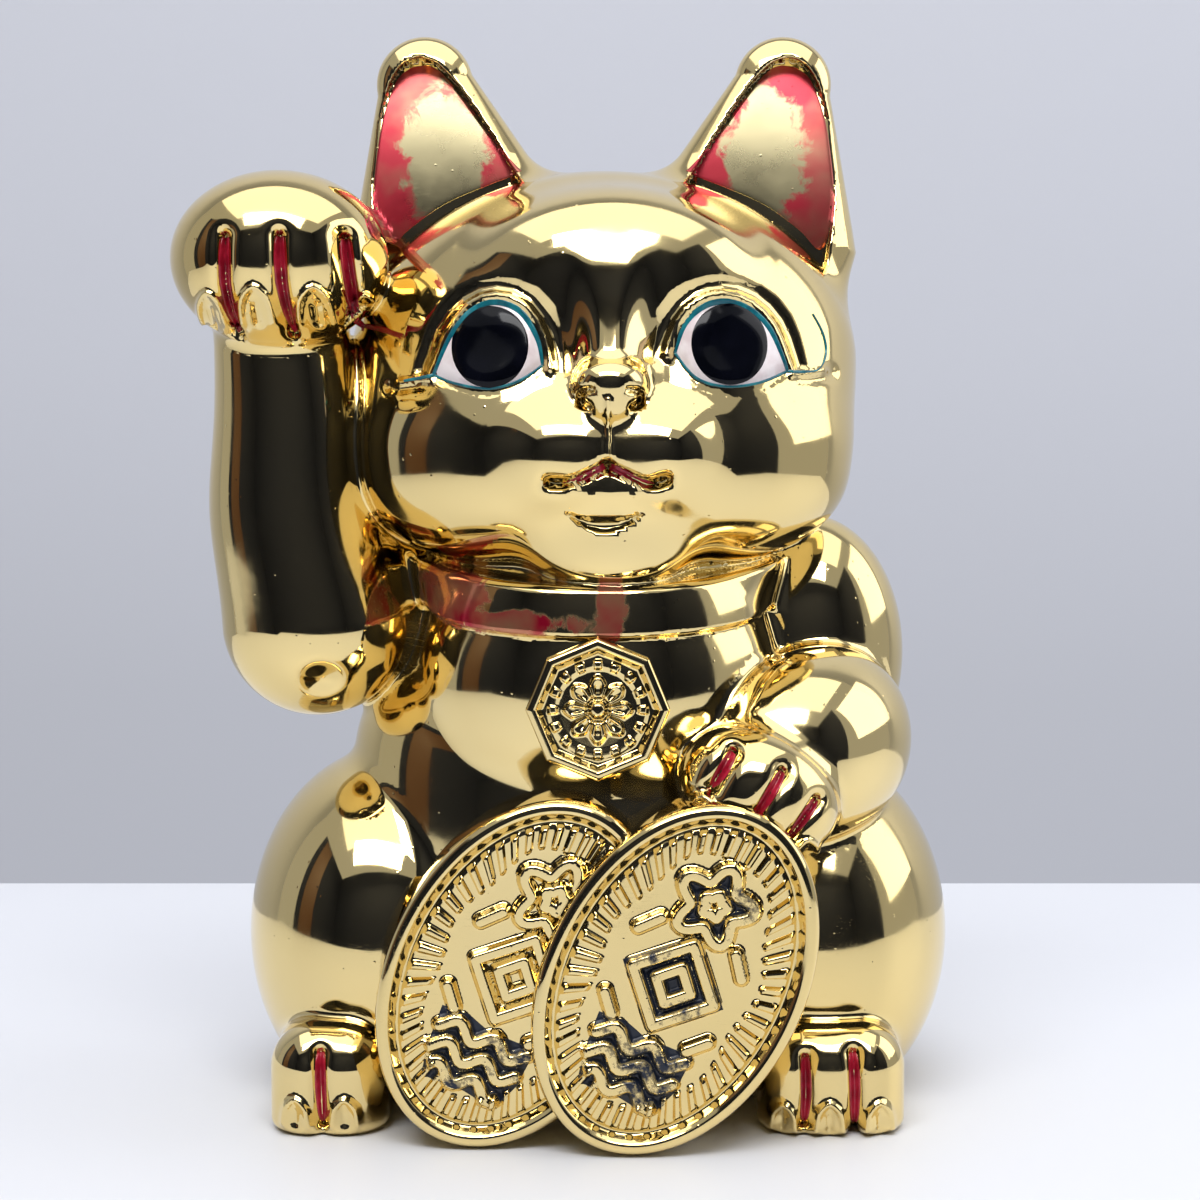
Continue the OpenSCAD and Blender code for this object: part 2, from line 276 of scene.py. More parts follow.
def trunk_form(p):
    form = lump(p, (0, 4, 30), (64, 52, 42))
    form = join(form, lump(p, (0, 3, 62), (63, 50, 44)), 20)
    form = join(form, lump(p, (0, 4, 90), (62, 44, 38)), 20)
    form = join(form, lump(p, (0, 0, 128), (45, 39, 34)), 14)
    form = join(form, lump(p, (0, -13, 106), (46, 39, 41)), 3)
    form = join(form, lump(p, (18, -24, 40), (26, 40, 40), 27), 6)
    form = join(form, lump(p, (-19, -22, 40), (26, 36, 40), 27), 6)
    for side in (-1, 1):
        form = join(form, lump(p, (side * 55, 2, 40), (36, 47, 47)), 3.5)
    return cut(form, p[:, 2], 5)


def chamber(p):
    """The space inside the torso, the neck and the head."""
    trunk = lump(p, (0, 4, 30), (60, 48, 38))
    for centre, half in (((0, 3, 62), (59, 46, 40)), ((0, 4, 90), (58, 40, 34)), ((-55, 2, 40), (31, 42, 42)),
                         ((55, 2, 40), (31, 42, 42))):
        trunk = join(trunk, lump(p, centre, half), 6)
    trunk = np.maximum(trunk, 7 - p[:, 2])
    neck = np.maximum(np.sqrt(p[:, 0] ** 2 + (p[:, 1] / 0.88) ** 2) - 34, np.abs(p[:, 2] - 124) - 34)
    head = lump(p, (1.4, 3, 187), (61, 46.5, 45))
    head = join(head, lump(p, (1.4, -12, 164), (56, 37, 24)), 8)
    return join(join(trunk, neck, 2), head, 2)


# ---- Head ----
# The head is a second casting, luted onto the neck. Its face is modelled in the mould: a straight
# bridge, a small nose, two cheeks, a split lip, and lids round bulging eyes. The money slot was cut
# through the back of it with a knife while the clay was soft.

EYES = {
    "right": {"upper": [(-39.6, 183.3), (-35.4, 192.7), (-30.6, 198.5), (-24.8, 200.6), (-18.6, 198.3),
                        (-14.5, 191.8), (-13.2, 185.4)],
              "lower": [(-39.6, 183.3), (-34.2, 181.2), (-25.8, 179.9), (-18.6, 181.8), (-13.2, 185.4)],
              "tail": [(-39.6, 183.3), (-43.7, 182.5), (-47.1, 182.0)],
              "pupil": (-25.8, 189.9)},
    "left": {"upper": [(45.9, 184.3), (44.1, 189.1), (41.1, 195.1), (36.3, 199.3), (30.4, 200.8), (25.0, 199.3),
                       (20.8, 195.1), (18.4, 188.4)],
             "lower": [(45.9, 184.3), (38.7, 181.4), (30.4, 180.4), (23.2, 182.5), (18.4, 188.4)],
             "tail": [(45.9, 184.3), (50.0, 184.2), (54.3, 185.0), (56.4, 189.1), (55.7, 193.9), (53.0, 198.7)],
             "pupil": (31.5, 190.6)},
}


def lid(eye, out):
    """The upper edge of an eye and the start of its tail, moved out from the pupil."""
    line = np.vstack([curve(eye["upper"], 2)[::-1], eye["tail"][1:3]])
    away = line - np.array(eye["pupil"])
    return line + away / np.linalg.norm(away, axis=1)[:, None] * out * np.linspace(1, 0.75, len(line))[:, None]


def face_relief(x, z):
    raised = 0.8 * stroke(x, z, [(2.4, 177), (2.4, 163)], 1.6)
    for eye in EYES.values():
        middle = np.mean([eye["upper"][0][0], eye["upper"][-1][0]])
        ball = 1 - ((x - middle) / 15) ** 2 - ((z - 189.5) / 11.5) ** 2
        raised += 1.5 * ramp(ball, 0.0, 0.8)
        raised += 1.1 * stroke(x, z, lid(eye, 2.0), 2.6) - 0.9 * stroke(x, z, lid(eye, 5.0), 4.0)
        raised -= 0.4 * stroke(x, z, curve(eye["lower"], 2), 3.0)
    for side in (-1, 1):
        raised -= 1.5 * stroke(x, z, curve([(3 + side * 4.2, 179.6), (3 + side * 6.6, 179.0), (3 + side * 7.0, 176.4),
                                            (3 + side * 5.0, 175.4)], 3), 1.7)
    raised -= 2.4 * stroke(x, z, curve([(2.2, 162.0), (-2.5, 159.6), (-6.5, 157.9), (-11.0, 157.7)], 4), 2.6)
    raised -= 2.4 * stroke(x, z, curve([(2.2, 162.0), (7.0, 159.6), (12.0, 157.4), (16.0, 158.4)], 4), 2.6)
    for corner in ([(-9.0, 157.6), (-11.5, 157.9)], [(14.0, 158.0), (16.0, 158.6)]):
        raised -= 1.6 * stroke(x, z, corner, 4.4)
    under_lip = 161.4 - 0.62 * np.abs(x - 2.2)
    gape = ramp(under_lip - z, -0.3, 0.5) * ramp(z, 154.6, 155.6) * (1 - ramp(np.abs(x - 2.2), 6.5, 8.5))
    raised -= gape * np.clip(z - 154.4, 0, 7) * 0.42
    low, high = 145.4 + 0.058 * (x - 1.6) ** 2, 149.8 + 0.012 * (x - 1.6) ** 2
    scoop = 1.5 * np.clip((high - low) / 2, 0, 1)
    raised -= scoop * np.sin(math.pi * np.clip((high - z) / np.maximum(high - low, 0.1), 0, 1))
    return raised


def head_form(p):
    m = np.stack([np.abs(p[:, 0] - 3), p[:, 1], p[:, 2]], -1)
    form = lump(p, (1.4, 3, 187), (65.4, 51, 49.5))
    form = join(form, lump(p, (1.4, -14, 162.3), (62, 44, 29), square=2.4), 14)
    form = join(form, lump(p, (3, -40.5, 140), (15, 11, 9)), 12)
    form = join(form, lump(m, (11, -50, 164.5), (12, 10.5, 9.5)), 8)
    form = join(form, lump(p, (4, -29, 208.5), (30, 18.5, 19)), 10)
    form = join(form, limb(p, (3, -40, 203), 9.5, (3, -48.5, 185), 8.4), 7)
    form = cut(form, lump(m, (13.0, -59, 196), (4.2, 9, 11), 6), 9)
    form = join(form, lump(p, (3, -55, 180.8), (8.4, 7.6, 6.2)), 2.5)
    form = join(form, lump(p, (3, -55.5, 175.6), (5.0, 5.5, 3.6)), 3.5)
    return form - relief(p, (-62, -80, 134), (66, -20, 216), face_relief)


def money_slot(p):
    return block(p, (3, 50, 197), (19, 20, 3), 2.99)


# ---- Ears ----
# Each ear was pressed in its own mould and luted onto the head, with a hollow in its front that a
# red lacquer was brushed into.

EAR_HOLLOW = [(14, 221), (19.2, 231), (30.7, 250.5), (40.5, 263.2), (44.5, 266), (50.5, 265.8), (54.5, 262),
              (58.4, 250.5), (59.8, 232), (56.0, 209), (43, 197), (22, 202)]


def ear_form(p, side):
    lean = 4 + 0.12 * np.clip(p[:, 2] - 222, 0, 60)
    q = np.stack([(p[:, 0] - 1.5) * side, (p[:, 1] - lean) * 1.7, p[:, 2]], -1)
    return limb(q, (38, 0, 222), 28, (46.5, 0, 259.5), 12.5) / 1.3


def ear_hollow(p, side):
    x, z = (p[:, 0] - 1.5) * side, p[:, 2]
    corners = np.array(EAR_HOLLOW, np.float32)
    middle = corners.mean(0)
    outside = None
    for a, b in zip(corners, np.roll(corners, -1, 0)):
        along = (b - a) / np.linalg.norm(b - a)
        across = (x - a[0]) * along[1] - (z - a[1]) * along[0]
        if (middle[0] - a[0]) * along[1] - (middle[1] - a[1]) * along[0] > 0:
            across = -across
        outside = across if outside is None else cut(across, -outside, 3.0)
    floor = -4.5 + 12.0 * (np.clip(z - 219, 0, 60) / 45) ** 1.45 + 0.004 * (x - 43) ** 2
    return np.maximum(outside, p[:, 1] - floor)


# ---- Forelegs, paws, hind paws, collar and tail ----
# The limbs are cast or pressed on their own and luted on, and the seams were wiped with slip. Toes
# are grooves pressed into a ball of clay, and each claw is an arch of clay raised round a dent. The
# collar is a flat band of clay wrapped round the neck and the top of the chest.


def toes(x, z, grooves, claws, depth):
    raised = np.zeros(x.shape, np.float32)
    for line in grooves:
        raised -= depth * stroke(x, z, line, 4.6) + 0.5 * depth * stroke(x, z, line, 1.8)
    for cx, cz, width in claws:
        outline = arch(cx, cz, width, width * 1.5)
        raised += 1.1 * stroke(x, z, outline, 2.0)
        raised -= 0.9 * stroke(x, z, [(cx, cz - 0.6 * width), (cx, cz - 1.4 * width)], 2.6)
    return raised


RAISED_GROOVES = [[(-88.6, 216), (-88.9, 205), (-88.0, 194)], [(-75.4, 216), (-75.2, 205), (-74.2, 194)],
                  [(-60.8, 216), (-59.8, 205), (-59.4, 195)]]
RAISED_CLAWS = [(-93.6, 201, 3.6), (-81.6, 202, 4.2), (-67.6, 202, 4.2), (-56.5, 201, 3.4)]
LOWERED_GROOVES = [[(31.7, 94.4), (26.8, 86.3)], [(43.2, 90.2), (36.3, 79.4)], [(51.3, 83.3), (44.9, 74.8)]]
LOWERED_CLAWS = [(24.5, 83.0, 3.4), (32.5, 77.0, 3.6), (41.5, 73.5, 3.4), (49.5, 72.5, 3.2)]
HIND_GROOVES = [[(-67.0, 20), (-66.8, 11), (-66.5, 3)], [(50.0, 19), (50.2, 10), (49.8, 3)],
                [(61.6, 20), (62.0, 11), (62.0, 2)]]
HIND_CLAWS = [(-73.0, 8.0, 3.2), (-61.0, 8.0, 3.2), (44.6, 6.5, 3.0), (55.8, 7.0, 3.4), (68.0, 7.0, 3.4)]


def raised_foreleg_form(p):
    bow = 2.6 * np.exp(-((p[:, 2] - 150) / 20) ** 2)
    form = limb(np.stack([p[:, 0] + bow, p[:, 1], p[:, 2]], -1), (-71.5, -12, 121.5), 24, (-80, -13, 194), 17)
    form = join(form, lump(p, (-57, 2, 128), (16, 17, 30)), 5)
    return cut(form, lump(p, (-68, -39, 107), (6, 10, 5)), 4)


def raised_paw_form(p):
    form = lump(p, (-78.5, -25, 212), (26.8, 26, 21.8))
    return form - relief(p, (-110, -60, 186), (-46, -30, 226),
                         lambda x, z: toes(x, z, RAISED_GROOVES, RAISED_CLAWS, 2.6))


def lowered_foreleg_form(p):
    upper = lump(p, (55, 6, 112), (25, 24, 36))
    lower = join(lump(p, (58, -20, 93), (21, 23, 23)), lump(p, (46, -36, 90), (20, 20, 21)), 16)
    return join(upper, lower, 3)


def lowered_paw_form(p):
    form = lump(p, (38.5, -51, 83.5), (20, 17.5, 15.5), 25)
    return form - relief(p, (14, -76, 64), (60, -50, 100),
                         lambda x, z: toes(x, z, LOWERED_GROOVES, LOWERED_CLAWS, 2.0))


def hind_paw_form(p, side):
    centre, half = ((-65.5, -33, 9), (14.5, 22, 17)) if side < 0 else ((57, -33, 9), (18, 22, 17))
    form = cut(block(p, centre, half, 11), p[:, 2], 3)
    return form - relief(p, (-90, -62, -4), (80, -44, 28),
                         lambda x, z: toes(x, z, HIND_GROOVES, HIND_CLAWS, 1.9))


COLLAR_TILT = math.radians(8)
COLLAR_MIDDLE = 133.5
COLLAR_HALF_HEIGHT = 6


def collar_form(p):
    """A band that follows the chest, and is thicker at its top edge."""
    height = (p[:, 2] - COLLAR_MIDDLE) * math.cos(COLLAR_TILT) - p[:, 1] * math.sin(COLLAR_TILT)
    skin = trunk_form(p)
    thickness = 2.2 + 0.3 * np.clip(height + COLLAR_HALF_HEIGHT, 0, 2 * COLLAR_HALF_HEIGHT)
    band = np.maximum(skin - thickness, -skin - 4)
    return cut(band, COLLAR_HALF_HEIGHT - np.abs(height), 1.8)


def tail_form(p):
    return join(lump(p, (-4, 50, 16), (14, 12, 12)), lump(p, (10, 53, 20), (13, 13, 14)), 6)


# ---- Casting ----
# Each part seats on the ones above it in this list. Slip wiped round the joint leaves a fillet, and
# the one metal film over everything hides the seam, so the parts share the whole cat's shading.
# A row is the part's name, its form, its fillet and what is hollowed out of it.

FOOT_DEPTH = 3
CUT_EDGE = 0.9
CLAY = [
    ("torso_casting", trunk_form, 1.0, None),
    ("head_casting", head_form, 2.5, None),
    ("collar", collar_form, 1.6, None),
    ("ear_right", lambda p: ear_form(p, -1), 8.0, lambda p: ear_hollow(p, -1)),
    ("ear_left", lambda p: ear_form(p, 1), 8.0, lambda p: ear_hollow(p, 1)),
    ("raised_foreleg", raised_foreleg_form, 3.0, None),
    ("raised_paw", raised_paw_form, 3.5, None),
    ("lowered_foreleg", lowered_foreleg_form, 3.0, None),
    ("lowered_paw", lowered_paw_form, 3.0, None),
    ("hind_paw_right", lambda p: hind_paw_form(p, -1), 2.5, None),
    ("hind_paw_left", lambda p: hind_paw_form(p, 1), 2.5, None),
    ("tail", tail_form, 4.0, None),
]


def cat_form(p, parts):
    """The whole outer surface of the first parts in the list, with their fillets."""
    form = None
    for _, own_form, fillet, hollow in CLAY[:parts]:
        own = own_form(p)
        if form is None:
            form = own
        elif hollow is None:
            form = join(form, own, fillet)
        else:
            form = np.minimum(form, cut(join(form, own, fillet), hollow(p), CUT_EDGE))
    return form


def part_form(p, index):
    """One part as a closed solid: its own lumps, the fillet that runs out onto what it seats on,
    and a foot FOOT_DEPTH deep in it."""
    name, own_form, fillet, hollow = CLAY[index]
    own = solid = own_form(p)
    if index:
        seat = cat_form(p, index)
        sunk = seat + 0.01 + 0.6 * np.maximum(own - fillet * 0.9, 0)
        solid = join(own, sunk, fillet)
        if hollow is not None:
            solid = cut(solid, hollow(p), CUT_EDGE)
        solid = np.maximum(np.maximum(solid, own - fillet - 1.5), -seat - FOOT_DEPTH)
    if name == "torso_casting":
        floor = np.maximum(np.sqrt((p[:, 0] / 52) ** 2 + ((p[:, 1] - 5) / 38) ** 2) * 38 - 38, p[:, 2] - 7.5)
        solid = np.maximum(np.maximum(solid, -chamber(p)), -floor)
    if name == "head_casting":
        solid = cut(np.maximum(solid, -chamber(p)), money_slot(p), 1.2)
    return solid


def gradient(form, p):
    """Unit outward direction and slope of a form at points."""
    reach = 0.05
    slopes = [(form(p + offset) - form(p - offset)) / (2 * reach)
              for offset in np.eye(3, dtype=np.float32) * reach]
    g = np.stack(slopes, -1)
    size = np.sqrt((g ** 2).sum(-1, keepdims=True)) + 1e-9
    return g / size, size[:, 0]


def sample(form, low, high, step):
    """A form's values on a grid: exact near its surface, rough elsewhere."""
    rough = 4
    counts = [int(math.ceil((h - l) / step / rough)) + 1 for l, h in zip(low, high)]
    coarse_axes = [l + step * rough * (np.arange(n) + 0.5) for l, n in zip(low, counts)]
    coarse = form(np.stack(np.meshgrid(*coarse_axes, indexing="ij"), -1).reshape(-1, 3).astype(np.float32))
    values = coarse.reshape(counts)
    for axis in range(3):
        values = np.repeat(values, rough, axis)
    near = np.abs(values) < rough * step * 1.6
    places = np.argwhere(near).astype(np.float32) * step + np.array(low, np.float32) + 0.5 * step
    exact = np.concatenate([form(part) for part in np.array_split(places, max(1, len(places) // 200000))])
    values[near] = exact
    return values


def fit_piece(name, mesh, replaced, body="cat"):
    """A finished mesh as a piece of the object, in the place of the plain shape it stands for."""
    piece = add_object(name, mesh)
    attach(piece, body)
    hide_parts(replaced)


def cast(name, form, low, high, step, shade_form, polish=4):
    """Casts a form: a fine mesh of its surface, every point settled on the true surface, shaded by
    the whole cat's surface so that the joints between parts show no seam."""
    grid = openvdb.FloatGrid(4 * step)
    grid.copyFromArray(np.clip(sample(form, low, high, step), -4 * step, 4 * step).astype(np.float32))
    points, quads = grid.convertToQuads(0.0)
    p = (points * step + np.array(low, np.float32) + 0.5 * step).astype(np.float32)
    for _ in range(polish):
        direction, slope = gradient(form, p)
        move = np.clip(form(p) / np.maximum(slope, 0.3), -step * 0.5, step * 0.5)
        p = p - direction * move[:, None] * 0.9
    whole, _ = gradient(shade_form, p)
    own, _ = gradient(form, p)
    shared = (np.abs(shade_form(p)) < 0.25) & ((whole * own).sum(-1) > 0.92)
    normals = np.where(shared[:, None], whole, own)
    mesh = bpy.data.meshes.new(name)
    mesh.from_pydata((p * MM).tolist(), [], quads.tolist())
    mesh.polygons.foreach_set("use_smooth", np.ones(len(mesh.polygons), bool))
    mesh.normals_split_custom_set_from_vertices(normals.tolist())
    return mesh


def cat_surface(p):
    return cat_form(p, len(CLAY))


def add_gold(tree):
    """The film's colour, roughness and surface normal: bright metal under yellow lacquer, hazed by
    polishing, with hairline scratches a few hundredths of a millimetre wide and specks of dust."""
    place = node(tree, "TexCoord").outputs["Object"]
    haze = node(tree, "TexNoise", Vector=place, Scale=45.0, Detail=6.0, Roughness=0.6)
    patches = node(tree, "MapRange", i0=haze.outputs[0], i1=0.42, i2=0.72, i3=0.045, i4=0.15)
    turned = node(tree, "Mapping", Vector=place, Rotation=(0.5, 0.35, 0.8), Scale=(260.0, 5200.0, 5200.0))
    brushed = node(tree, "TexNoise", Vector=turned, Scale=1.0, Detail=2.0)
    where = node(tree, "TexNoise", Vector=place, Scale=28.0, Detail=2.0)
    rubbed = node(tree, "MapRange", i0=where.outputs[0], i1=0.5, i2=0.68, i3=0.0, i4=1.0)
    scratches = node(tree, "MapRange", i0=brushed.outputs[0], i1=0.58, i2=0.72, i3=0.0, i4=0.22)
    worn = node(tree, "Math", {"operation": "MULTIPLY"}, i0=scratches.outputs[0], i1=rubbed.outputs[0])
    roughness = node(tree, "Math", {"operation": "ADD"}, i0=patches.outputs[0], i1=worn.outputs[0])
    ripple = node(tree, "TexNoise", Vector=place, Scale=95.0, Detail=2.0)
    waviness = node(tree, "Bump", Strength=0.35, Distance=0.00008, Height=ripple.outputs[0])
    grit = node(tree, "TexVoronoi", Vector=place, Scale=240.0, Randomness=1.0)
    nib = node(tree, "MapRange", i0=grit.outputs["Distance"], i1=0.0, i2=0.09, i3=1.0, i4=0.0)
    specks = node(tree, "Bump", Strength=0.5, Distance=0.0001, Height=nib.outputs[0], Normal=waviness.outputs[0])
    tone = node(tree, "TexNoise", Vector=place, Scale=14.0, Detail=3.0)
    colour = node(tree, "Mix", {"data_type": "RGBA"}, i0=tone.outputs[0], i6=linear("#EDD9A2"), i7=linear("#E6CB86"))
    return colour.outputs[2], roughness.outputs[0], specks.outputs[0]


def gold_lustre():
    """Vacuum-deposited metal under yellow lacquer on glazed clay."""
    material, tree = new_material("gold_lustre_lacquer")
    colour, roughness, normal = add_gold(tree)
    finish_surface(tree, Base_Color=colour, Metallic=1.0, Roughness=roughness, Normal=normal)
    return material


gold = gold_lustre()


def washed_gold(name, spots, soak=1.0, ring=False, dull=0.0):
    """Red lacquer wiped thinly over the metal film in a few places, ragged and streaked at its edge.
    A spot is its middle and its half sizes. A ring is painted outside its spot instead. Dull is how
    much rougher and greyer, towards a dark grey-olive, the film is made all over this material."""
    material, tree = new_material(name)
    colour, roughness, normal = add_gold(tree)
    place = node(tree, "TexCoord").outputs["Object"]
    colour = node(tree, "Mix", {"data_type": "RGBA"}, i0=4 * dull, i6=colour, i7=linear("#7F7A62")).outputs[2]
    reach = None
    for middle, half in spots:
        moved = node(tree, "Mapping", {"vector_type": "TEXTURE"}, Vector=place, Location=middle, Scale=half)
        length = node(tree, "VectorMath", {"operation": "LENGTH"}, Vector=moved).outputs["Value"]
        if reach is not None:
            length = node(tree, "Math", {"operation": "MINIMUM"}, i0=reach, i1=length).outputs[0]
        reach = length
    ragged = node(tree, "TexNoise", Vector=place, Scale=120.0, Detail=6.0, Roughness=0.65, Distortion=0.6)
    spread = node(tree, "Math", {"operation": "MULTIPLY_ADD"}, i0=ragged.outputs[0], i1=1.8, i2=reach)
    low, high = (0.0, 1.0) if ring else (1.0, 0.0)
    mask = node(tree, "MapRange", i0=spread.outputs[0], i1=1.75, i2=1.95, i3=low, i4=high)
    streaky = node(tree, "MapRange", i0=node(tree, "TexNoise", Vector=place, Scale=60.0, Detail=3.0).outputs[0],
                   i1=0.3, i2=0.6, i3=0.45 * soak, i4=soak)
    wash = node(tree, "Math", {"operation": "MULTIPLY"}, i0=mask.outputs[0], i1=streaky.outputs[0])
    mixed = node(tree, "Mix", {"data_type": "RGBA"}, i0=wash.outputs[0], i6=colour, i7=linear("#A81530"))
    body = node(tree, "MapRange", i0=wash.outputs[0], i1=0.0, i2=1.0, i3=1.0, i4=0.55)
    gloss = node(tree, "Math", {"operation": "ADD"}, i0=roughness, i1=dull)
    finish_surface(tree, Base_Color=mixed.outputs[2], Metallic=body.outputs[0], Roughness=gloss.outputs[0],
                   Normal=normal)
    return material


collar_gold = washed_gold("gold_with_worn_red_lacquer", [((-0.036, -0.03, 0.129), (0.011, 0.03, 0.009)),
                                                         ((0.003, -0.045, 0.128), (0.004, 0.02, 0.009)),
                                                         ((-0.02, -0.04, 0.124), (0.02, 0.02, 0.003))])

# The box that holds each part, and the size of its mesh's cells.
BOXES = {
    "torso_casting": ((-98, -60, -3), (98, 66, 152), 1.5),
    "head_casting": ((-68, -72, 122), (72, 60, 242), 1.09),
    "collar": ((-58, -60, 110), (58, 58, 152), 0.85),
    "ear_right": ((-72, -26, 186), (0, 32, 276), 0.8),
    "ear_left": ((3, -26, 186), (76, 32, 276), 0.8),
    "raised_foreleg": ((-108, -42, 88), (-36, 22, 214), 0.9),
    "raised_paw": ((-112, -58, 182), (-42, 10, 240), 0.6),
    "lowered_foreleg": ((18, -66, 56), (90, 40, 156), 0.9),
    "lowered_paw": ((10, -78, 60), (66, -24, 106), 0.6),
    "hind_paw_right": ((-88, -62, -3), (-42, -2, 34), 0.6),
    "hind_paw_left": ((32, -62, -3), (82, -2, 34), 0.6),
    "tail": ((-24, 34, -3), (30, 72, 40), 0.9),
}
for index, row in enumerate(CLAY):
    name = row[0]
    low, high, step = BOXES[name]
    mesh = cast(name + "_clay", lambda p, i=index: part_form(p, i), low, high, step, cat_surface)
    mesh.materials.append(collar_gold if name == "collar" else gold)
    fit_piece(mesh.name, mesh, name)

# ---- Enamel ----
# The eyes, lips and toes are painted by hand over the metal film, so each is a coat a few tenths of
# a millimetre thick that follows the clay below it and thins out at its edge.


def settle(x, z):
    """The points of the cat's front that lie behind points of a flat drawing, and their normals."""
    p = np.stack([x, np.full(x.shape, -85.0), z], -1).astype(np.float32)
    for _ in range(70):
        p[:, 1] += np.clip(cat_surface(p) * 0.8, -3, 8)
    return p, gradient(cat_surface, p)[0]


def add_to(shell, sheet):
    """Adds one closed film to the shell of a coat that has several."""
    mesh = mesh_from("film", sheet)
    shell.from_mesh(mesh)
    bpy.data.meshes.remove(mesh)


def coat(name, strips, lift, material, replaced, steps):
    """A coat of paint: each strip lies between two lines drawn on the front."""
    shell = bmesh.new()
    for first, second in strips:
        sheet = bmesh.new()
        bmesh.ops.create_grid(sheet, x_segments=steps[0], y_segments=steps[1], size=0.5)
        grid = np.array([vert.co for vert in sheet.verts])
        u, v = grid[:, 0] + 0.5, grid[:, 1] + 0.5
        edges = []
        for line in (np.array(first, float), np.array(second, float)):
            run = np.concatenate([[0], np.cumsum(np.linalg.norm(np.diff(line, axis=0), axis=1))])
            run /= max(run[-1], 1e-6)
            edges.append(np.stack([np.interp(u, run, line[:, 0]), np.interp(u, run, line[:, 1])], -1))
        flat = edges[0] * (1 - v)[:, None] + edges[1] * v[:, None]
        surface, normals = settle(flat[:, 0], flat[:, 1])
        full = np.clip(1 - np.abs(2 * v - 1) ** 4, 0, 1) ** 0.5
        top = surface + normals * (0.03 + lift * full)[:, None]
        under = surface - normals * 0.2
        order = list(sheet.verts)
        for vert, place in zip(order, top):
            vert.co = place * MM
        lower = {tuple(vert.co): place * MM for vert, place in zip(order, under)}
        made = bmesh.ops.extrude_face_region(sheet, geom=list(sheet.faces))
        for vert in [item for item in made["geom"] if isinstance(item, bmesh.types.BMVert)]:
            vert.co = lower[tuple(vert.co)]
        bmesh.ops.remove_doubles(sheet, verts=list(sheet.verts), dist=2e-6)
        bmesh.ops.recalc_face_normals(sheet, faces=list(sheet.faces))
        add_to(shell, sheet)
    for face in shell.faces:
        face.smooth = True
    mesh = mesh_from(name, shell)
    mesh.materials.append(material)
    fit_piece(name, mesh, replaced)


def ribbon(points, widths):
    """The two edges of a brush stroke along a line, from its width at points spaced along it."""
    line = curve(points, 5)
    along = np.gradient(line, axis=0)
    across = np.stack([-along[:, 1], along[:, 0]], -1) / (np.linalg.norm(along, axis=1)[:, None] + 1e-9)
    half = np.interp(np.linspace(0, 1, len(line)), np.linspace(0, 1, len(widths)), widths)[:, None] / 2
    return line + across * half, line - across * half


def arc(centre, radius, start, end, steps):
    """Points along an arc, in degrees from +X towards +Z."""
    turns = [math.radians(start + (end - start) * i / steps) for i in range(steps + 1)]
    return [(centre[0] + radius * math.cos(t), centre[1] + radius * math.sin(t)) for t in turns]


def glazed_paint(name, hex_colour, second_colour, patch, roughness, ior=1.5):
    """Enamel brushed on by hand: an even gloss, with the colour a little thinner in places."""
    material, tree = new_material(name)
    place = node(tree, "TexCoord").outputs["Object"]
    thin = node(tree, "TexNoise", Vector=place, Scale=patch, Detail=4.0)
    shade = node(tree, "MapRange", i0=thin.outputs[0], i1=0.4, i2=0.65, i3=0.0, i4=1.0)
    colour = node(tree, "Mix", {"data_type": "RGBA"}, i0=shade.outputs[0], i6=linear(hex_colour),
                  i7=linear(second_colour))
    uneven = node(tree, "Bump", Strength=0.25, Distance=0.0001, Height=thin.outputs[0])
    finish_surface(tree, Base_Color=colour.outputs[2], Roughness=roughness, IOR=ior, Normal=uneven)
    return material


white_enamel = glazed_paint("white_enamel_of_eyes", "#EFE6E6", "#DCCBCB", 160.0, 0.15)
teal_enamel = glazed_paint("teal_enamel_of_liner", "#125A68", "#1E7C86", 300.0, 0.2)
black_enamel = glazed_paint("black_enamel_of_pupils", "#04050A", "#090A12", 120.0, 0.1, 1.28)
red_enamel = glazed_paint("red_lacquer_in_grooves", "#8E1226", "#B3243A", 260.0, 0.2)

PUPIL_RADIUS = 9.75
for side, eye in EYES.items():
    upper, lower = curve(eye["upper"], 8), curve(eye["lower"], 8)
    coat("eye_white_" + side + "_coat", [(lower, upper)], 0.15, white_enamel,
         "eye_white_" + side, (60, 40))
    halves = [arc(eye["pupil"], PUPIL_RADIUS, 90, end, 40) for end in (270, -90)]
    coat("pupil_" + side + "_coat", [halves], 0.35, black_enamel, "pupil_" + side, (60, 40))
    flick = (0.9, 0.8, 0.5) if side == "right" else (0.9, 0.6, 0.4, 0.35, 0.3, 0.15)
    coat("eye_liner_" + side + "_coat",
         [ribbon(eye["upper"], (1.0, 1.5, 1.6, 1.5, 0.9)), ribbon(eye["lower"], (0.9, 0.75, 0.7, 0.8, 0.9)),
          ribbon(eye["tail"], flick)], 0.3, teal_enamel, "eye_liner_" + side, (80, 5))

coat("lip_coat", [ribbon([(1.6, 161.6), (-1.0, 160.2), (-5.0, 158.4), (-8.0, 157.8)], (1.8, 1.4, 1.1, 0.3)),
                  ribbon([(2.8, 161.6), (6.0, 160.0), (10.0, 158.2), (13.2, 157.6)], (1.8, 1.4, 1.1, 0.3))],
     0.15, red_enamel, "lip_enamel", (40, 5))
for name, lines, replaced in (("toe_lines_raised_coat", RAISED_GROOVES, "claw_enamel_raised"),
                              ("toe_lines_lowered_coat", LOWERED_GROOVES, "claw_enamel_lowered"),
                              ("toe_lines_hind_coat", HIND_GROOVES, "claw_enamel_hind")):
    coat(name, [ribbon(line, (1.6, 2.6, 2.6, 2.0, 0.6)) for line in lines], 0.12, red_enamel,
         replaced, (50, 8))

